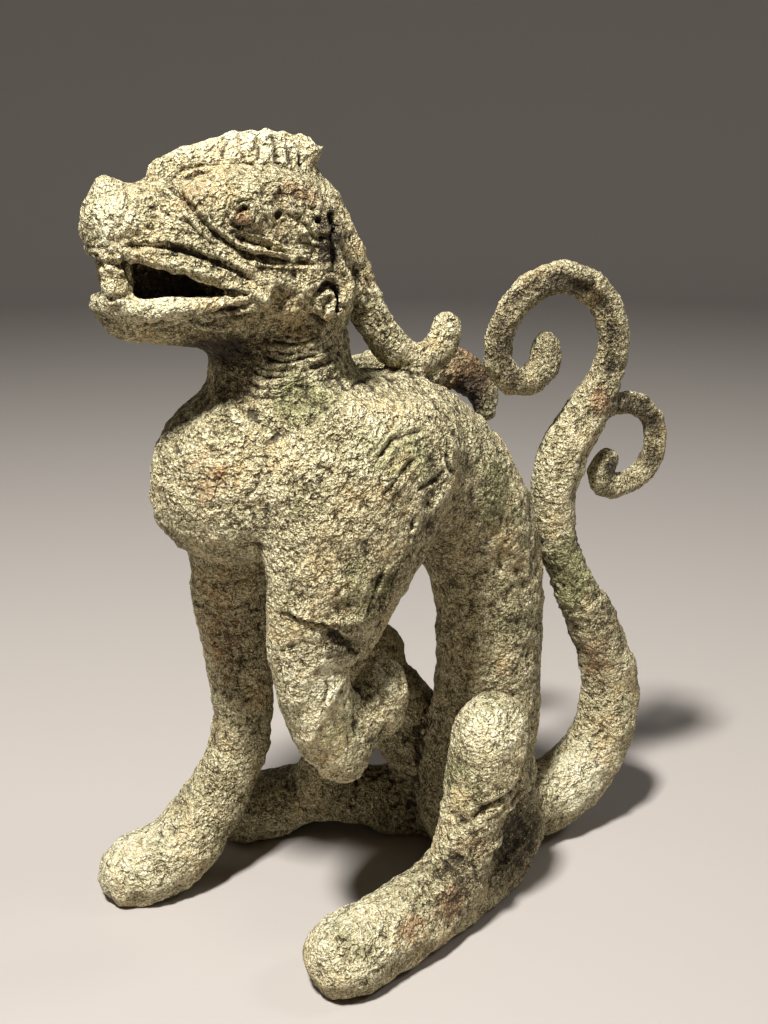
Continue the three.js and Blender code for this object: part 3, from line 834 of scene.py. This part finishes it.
def crust_group():
    """Crumbs, grit and pits too small for the mesh, as a height and as a tone from dark to pale."""
    group, given, wanted = new_group(
        "crust grit", (("Place", "Vector"), ("Grit size", "Float")),
        (("Height", "Float"), ("Tone", "Float")))
    place = given["Place"]
    fine = calc(group, "DIVIDE", 1.0, given["Grit size"])
    medium = calc(group, "MULTIPLY", fine, CRUMB_SHARE)
    broad = calc(group, "MULTIPLY", fine, LUMP_SHARE)
    grit = noise_outputs(group, place, fine, 1.0, distortion=0.6)["Fac"]
    dust = noise_outputs(group, place, calc(group, "MULTIPLY", fine, DUST_SHARE), 1.0, 0.6)["Fac"]
    warp = noise_outputs(group, place, medium, 1.0)["Color"]
    push = add_node(group, "ShaderNodeVectorMath", {0: warp, 1: (CRUMB_WARP,) * 3}, operation="MULTIPLY")
    moved = add_node(group, "ShaderNodeVectorMath", {0: place, 1: push.outputs[0]}, operation="ADD")
    cells = add_node(group, "ShaderNodeTexVoronoi",
                     {"Vector": moved.outputs[0], "Scale": medium}).outputs["Distance"]
    crumbs = step_up(group, cells, 0.8, 0.15)
    lumps = noise_outputs(group, moved.outputs[0], broad, 2.0, 0.6)["Fac"]
    pocks = step_up(group, lumps, 0.36, 0.46)

    def weighed(*terms):
        """The sum of terms, each a socket and its weight."""
        total = 0.0
        for socket, weight in terms:
            total = calc(group, "ADD", total, calc(group, "MULTIPLY", socket, weight))
        return total

    group.links.new(weighed((grit, 0.9), (crumbs, 0.5), (lumps, 1.8), (pocks, 0.5)), wanted["Height"])
    tone = weighed((grit, 1.3), (dust, 2.0), (crumbs, 0.3), (pocks, 0.12))
    group.links.new(calc(group, "SUBTRACT", tone, 1.45), wanted["Tone"])
    return group


def patinated_bronze(settings):
    """Corroded bronze: cream crust on raised places, olive between them, and dark metal in the pits.
    Hollows are painted darker, partly as the dark metal and partly as painted shade, and the shade
    patches are painted shade.
    """
    material = bpy.data.materials.new("patinated_bronze_crust")
    material.use_nodes = True
    tree = material.node_tree
    shader = tree.nodes["Principled BSDF"]
    place = add_node(tree, "ShaderNodeTexCoord").outputs["Object"]
    marks = {name: add_node(tree, "ShaderNodeAttribute", attribute_name=name).outputs["Fac"]
             for name in ("hollow", "rust", "verdigris", "shade", "chalk")}
    grit = add_node(tree, "ShaderNodeGroup", node_tree=crust_group())
    tree.links.new(place, grit.inputs["Place"])
    grit.inputs["Grit size"].default_value = settings.grit_size
    cloud = noise_outputs(tree, place, CLOUD_SCALE, 5.0, 0.62)["Fac"]
    flecks = noise_outputs(tree, place, FLECK_SCALE, 4.0, 0.7)["Fac"]

    def weighed(*terms):
        """Half, and the sum of terms, each a socket, its middle and its weight."""
        total = 0.5
        for socket, middle, weight in terms:
            centred = calc(tree, "SUBTRACT", socket, middle)
            total = calc(tree, "ADD", total, calc(tree, "MULTIPLY", centred, weight))
        return total

    # the tone is darker in hollows, partly dark metal and partly painted shade, and darker in the shade
    # patches, which are painted shade
    tone = weighed((grit.outputs["Tone"], 0.5, settings.contrast), (flecks, 0.5, 0.1), (cloud, 0.5, 0.7),
                   (marks["hollow"], 0.5, -0.2), (marks["chalk"], 0.3, 0.3),
                   (marks["shade"], 0.1, -0.35))
    ramp = add_node(tree, "ShaderNodeValToRGB", {"Fac": tone})
    stops = ramp.color_ramp.elements
    for stop, where, code in ((stops[0], 0.02, settings.dark), (stops[1], 0.98, settings.chalk)):
        stop.position = where
        stop.color = (*code, 1)
    for where, code in ((0.25, settings.umber), (0.5, settings.olive), (0.75, settings.pale)):
        stops.new(where).color = (*code, 1)
    colour = ramp.outputs["Color"]

    earth = step_up(tree, weighed((cloud, 0.5, 2.0), (flecks, 0.5, 0.8)), 0.45, 0.9)
    colour = blend(tree, calc(tree, "MULTIPLY", earth, 0.55), colour, (*settings.ochre, 1), "MULTIPLY")
    moss = step_up(tree, weighed((marks["verdigris"], 0.4, 1.0), (flecks, 0.5, 1.2), (cloud, 0.5, -2.0)),
                   0.2, 0.9)
    colour = blend(tree, calc(tree, "MULTIPLY", moss, 0.7), colour, (*settings.moss, 1), "MULTIPLY")
    rust = step_up(tree, weighed((marks["rust"], 0.5, 1.0), (flecks, 0.5, 1.5)), 0.2, 0.8)
    colour = blend(tree, calc(tree, "MULTIPLY", rust, 0.6), colour, (*settings.rust, 1), "MULTIPLY")
    # the deepest hollows and carved lines are blended to near black, partly dark metal and partly painted
    # shade; the shade patches are blended to it as painted shade
    groove = calc(tree, "MULTIPLY", step_up(tree, marks["hollow"], 0.76, 1.0), 0.85)
    painted_shade_share = calc(tree, "MULTIPLY", marks["shade"], 0.65)
    colour = blend(tree, calc(tree, "MAXIMUM", groove, painted_shade_share), colour, (*settings.dark, 1))
    tree.links.new(colour, shader.inputs["Base Color"])

    tree.links.new(step_up(tree, tone, -0.8, 0.5), shader.inputs["Roughness"])
    bump = add_node(tree, "ShaderNodeBump",
                    {"Height": grit.outputs["Height"], "Strength": 1.0, "Distance": settings.grit_height})
    tree.links.new(bump.outputs["Normal"], shader.inputs["Normal"])
    return material


class DRAGON_OT_cast(bpy.types.Operator):
    """Model the cast figure over the frame"""

    bl_idname = "dragon.cast"
    bl_label = "Model the cast figure"

    def execute(self, context):
        piece = model_cast(context.scene.dragon_cast)
        piece.data.materials.clear()
        piece.data.materials.append(patinated_bronze(context.scene.dragon_patina))
        for face in piece.data.polygons:
            face.use_smooth = True
        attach(piece, "root")
        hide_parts("dragon")
        return {"FINISHED"}


def area_light(name, place, target, size, watts):
    """A soft square light that shines from place to target."""
    data = bpy.data.lights.new(name, "AREA")
    data.size = size
    data.energy = watts
    lamp = new_object(name, data)
    lamp.location = place
    lamp.rotation_euler = (Vector(target) - Vector(place)).to_track_quat("-Z", "Y").to_euler()


def round_cove(radius, bend, height):
    """A round floor whose edge bends up into a plain wall on every side."""
    form = bmesh.new()
    places = [(0, 0), (radius, 0)]
    for turn in range(1, BEND_STEPS + 1):
        angle = math.pi / 2 * turn / BEND_STEPS
        places.append((radius + bend * math.sin(angle), bend * (1 - math.cos(angle))))
    places.append((radius + bend, height))
    line = [form.verts.new((out, 0, up)) for out, up in places]
    edges = [form.edges.new(pair) for pair in zip(line, line[1:])]
    bmesh.ops.spin(form, geom=line + edges, cent=(0, 0, 0), axis=(0, 0, 1), angle=2 * math.pi,
                   steps=ROUND_STEPS, use_merge=True)
    bmesh.ops.remove_doubles(form, verts=form.verts, dist=1e-5)
    bmesh.ops.recalc_face_normals(form, faces=form.faces)
    mesh = bpy.data.meshes.new("floor")
    form.to_mesh(mesh)
    form.free()
    for face in mesh.polygons:
        face.use_smooth = True
    return new_object("floor", mesh)


class DRAGON_OT_stage(bpy.types.Operator):
    """Set up the floor, the lights and the camera"""

    bl_idname = "dragon.stage"
    bl_label = "Set up the stage"

    def execute(self, context):
        settings = context.scene.dragon_stage
        floor = round_cove(settings.floor_radius, settings.cove_radius, settings.cove_height)
        paint = bpy.data.materials.new("floor_paint")
        paint.use_nodes = True
        shader = paint.node_tree.nodes["Principled BSDF"]
        shader.inputs["Base Color"].default_value = (*settings.floor, 1)
        shader.inputs["Roughness"].default_value = 0.9
        floor.data.materials.append(paint)
        for name, place, target, size in LIGHTS:
            area_light(name, place, target, size, getattr(settings, name))
        world = bpy.data.worlds.new("studio")
        world.use_nodes = True
        sky = world.node_tree.nodes["Background"]
        sky.inputs["Color"].default_value = SKY_COLOUR
        sky.inputs["Strength"].default_value = SKY_STRENGTH
        context.scene.view_settings.view_transform = "Standard"
        context.scene.world = world
        data = bpy.data.cameras.new("photo_view")
        data.sensor_width = 36
        data.lens = settings.camera_lens
        data.clip_start = 0.01
        camera = new_object("photo_view", data)
        camera.location = settings.camera_place
        camera.rotation_euler = (math.pi / 2 - settings.camera_dip, 0, settings.camera_heading)
        context.scene.camera = camera
        return {"FINISHED"}


class DRAGON_PT_panel(bpy.types.Panel):
    """The dragon's operators and settings"""

    bl_label = "Seated dragon"
    bl_space_type = "VIEW_3D"
    bl_region_type = "UI"
    bl_category = "Dragon"

    def draw(self, context):
        layout = self.layout
        groups = (("dragon.cast", context.scene.dragon_cast), (None, context.scene.dragon_patina),
                  ("dragon.stage", context.scene.dragon_stage))
        for operator, group in groups:
            box = layout.box()
            if operator:
                box.operator(operator)
            for name in group.bl_rna.properties.keys():
                if name not in ("rna_type", "name"):
                    box.prop(group, name)


CLASSES = (CastSettings, PatinaSettings, StageSettings, DRAGON_OT_cast, DRAGON_OT_stage,
           DRAGON_PT_panel)


def register():
    for made in CLASSES:
        bpy.utils.register_class(made)
    bpy.types.Scene.dragon_cast = PointerProperty(type=CastSettings)
    bpy.types.Scene.dragon_patina = PointerProperty(type=PatinaSettings)
    bpy.types.Scene.dragon_stage = PointerProperty(type=StageSettings)


def unregister():
    del bpy.types.Scene.dragon_stage
    del bpy.types.Scene.dragon_patina
    del bpy.types.Scene.dragon_cast
    for made in reversed(CLASSES):
        bpy.utils.unregister_class(made)


def main():
    register()
    bpy.ops.dragon.cast()
    bpy.ops.dragon.stage()


if __name__ == "__main__":
    main()
